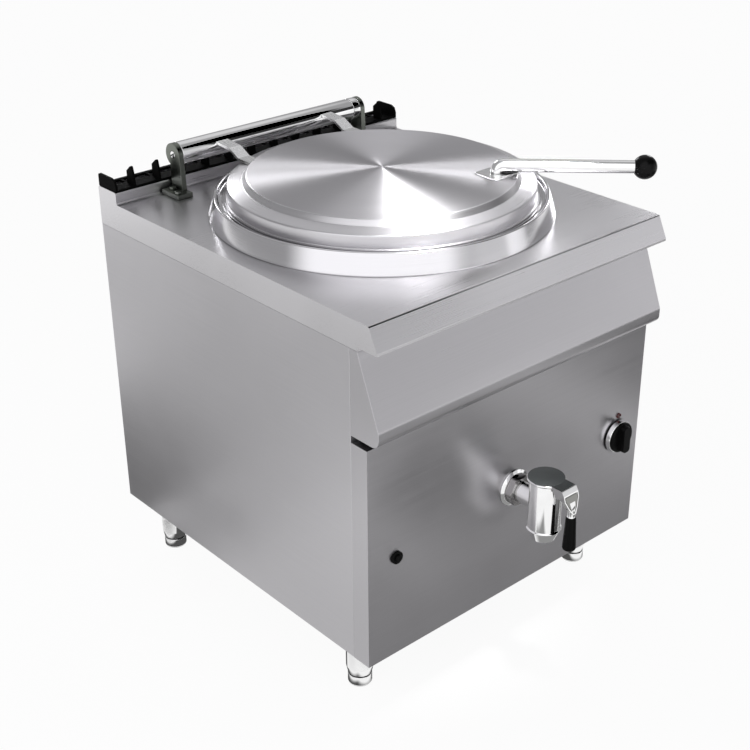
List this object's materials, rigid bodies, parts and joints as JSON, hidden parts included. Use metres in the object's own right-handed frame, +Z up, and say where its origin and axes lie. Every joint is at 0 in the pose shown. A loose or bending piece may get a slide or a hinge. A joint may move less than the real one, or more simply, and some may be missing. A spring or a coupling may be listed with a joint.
{
  "type": "steam jacketed kettle",
  "caption": "Free-standing gas boiling pan: round jacketed vessel with a hinged lid and side handle, drain tap and gas knob on the front, flue grille at the back, on adjustable feet.",
  "frame": {"origin": "on the floor under the middle of the outer box", "axes": "+X to the right as seen from the front, +Y from the front towards the back, +Z up"},
  "size_m": [0.8, 1.037, 1.009],
  "materials": {
    "worktop_steel": "fine brushed stainless steel, grain along the width",
    "panel_steel": "fine brushed stainless steel",
    "fascia_steel": "fine brushed stainless steel, grain along the width",
    "well_steel": "turned satin stainless steel",
    "lid_steel": "circular brushed stainless steel",
    "arm_steel": "satin stainless steel",
    "bracket_steel": "satin stainless steel, darker",
    "dull_steel": "mill finish steel",
    "chrome": "polished",
    "black_enamel": "black enamelled casting",
    "black_plastic": "black moulded phenolic, satin gloss",
    "brass": "cast and machined",
    "burner_iron": "as cast",
    "red_lens": "dark red translucent",
    "white_nylon": "natural nylon"
  },
  "bodies": {
    "cabinet": {"worktop": "worktop_steel", "left_side_panel": "panel_steel", "right_side_panel": "panel_steel", "front_panel": "panel_steel", "control_fascia": "fascia_steel", "well_ring": "well_steel", "vessel": "well_steel", "hinge_bracket_left": "bracket_steel", "hinge_bracket_right": "bracket_steel", "back_panel": "dull_steel", "base_tray": "dull_steel", "steam_jacket": "dull_steel", "drain_pipe": "dull_steel", "flue_duct": "dull_steel", "burner_support": "dull_steel", "hinge_spring": "dull_steel", "hinge_pin_left": "chrome", "hinge_pin_right": "chrome", "bracket_bolt_left_1": "chrome", "bracket_bolt_left_2": "chrome", "bracket_bolt_right_1": "chrome", "bracket_bolt_right_2": "chrome", "tap_flange": "chrome", "tap_nut": "chrome", "tap_body": "chrome", "leg_front_left": "chrome", "leg_front_right": "chrome", "leg_rear_left": "chrome", "leg_rear_right": "chrome", "flue_grille": "black_enamel", "igniter_housing": "black_plastic", "gas_valve": "brass", "gas_pipe": "brass", "ring_burner": "burner_iron", "indicator_lamp": "red_lens"},
    "lid": {"lid_shell": "lid_steel", "lid_arm_left": "arm_steel", "lid_arm_right": "arm_steel", "handle_plate": "arm_steel", "handle_rod": "chrome", "handle_ball": "black_plastic", "hinge_tube": "chrome", "hinge_collar": "chrome", "hinge_bush": "white_nylon", "spring_anchor": "dull_steel"},
    "tap_handle": {"tap_lever": "chrome", "tap_plug": "brass", "tap_grip": "black_plastic"},
    "spindle": {"valve_spindle": "dull_steel"},
    "knob": {"knob_skirt": "chrome", "knob_grip": "black_plastic"},
    "igniter": {"igniter_button": "black_plastic"},
    "foot_front_left": {"foot_front_left": "chrome"},
    "foot_front_right": {"foot_front_right": "chrome"},
    "foot_rear_left": {"foot_rear_left": "chrome"},
    "foot_rear_right": {"foot_rear_right": "chrome"}
  },
  "joints": [
    {"name": "lid_hinge", "type": "hinge", "parent": "cabinet", "child": "lid", "pos_m": [0, 0.4345, 0.964], "axis": [-1, 0, 0], "range_deg": [0, 85]},
    {"name": "tap_turn", "type": "hinge", "parent": "cabinet", "child": "tap_handle", "pos_m": [0, -0.435, 0.384], "axis": [0, 0, 1], "range_deg": [0, 90]},
    {"name": "knob_turn", "type": "hinge", "parent": "cabinet", "child": "spindle", "pos_m": [0.326, -0.3485, 0.3815], "axis": [0, -1, 0], "range_deg": [0, 270]},
    {"name": "knob_push", "type": "slide", "parent": "spindle", "child": "knob", "axis": [0, 1, 0], "range_m": [0, 0.003], "stiffness_N_per_m": 900},
    {"name": "igniter_push", "type": "slide", "parent": "cabinet", "child": "igniter", "axis": [0, 1, 0], "range_m": [0, 0.004], "stiffness_N_per_m": 900},
    {"name": "foot_front_left_height", "type": "slide", "parent": "cabinet", "child": "foot_front_left", "axis": [0, 0, -1], "range_m": [0, 0.03]},
    {"name": "foot_front_right_height", "type": "slide", "parent": "cabinet", "child": "foot_front_right", "axis": [0, 0, -1], "range_m": [0, 0.03]},
    {"name": "foot_rear_left_height", "type": "slide", "parent": "cabinet", "child": "foot_rear_left", "axis": [0, 0, -1], "range_m": [0, 0.03]},
    {"name": "foot_rear_right_height", "type": "slide", "parent": "cabinet", "child": "foot_rear_right", "axis": [0, 0, -1], "range_m": [0, 0.03]}
  ]
}
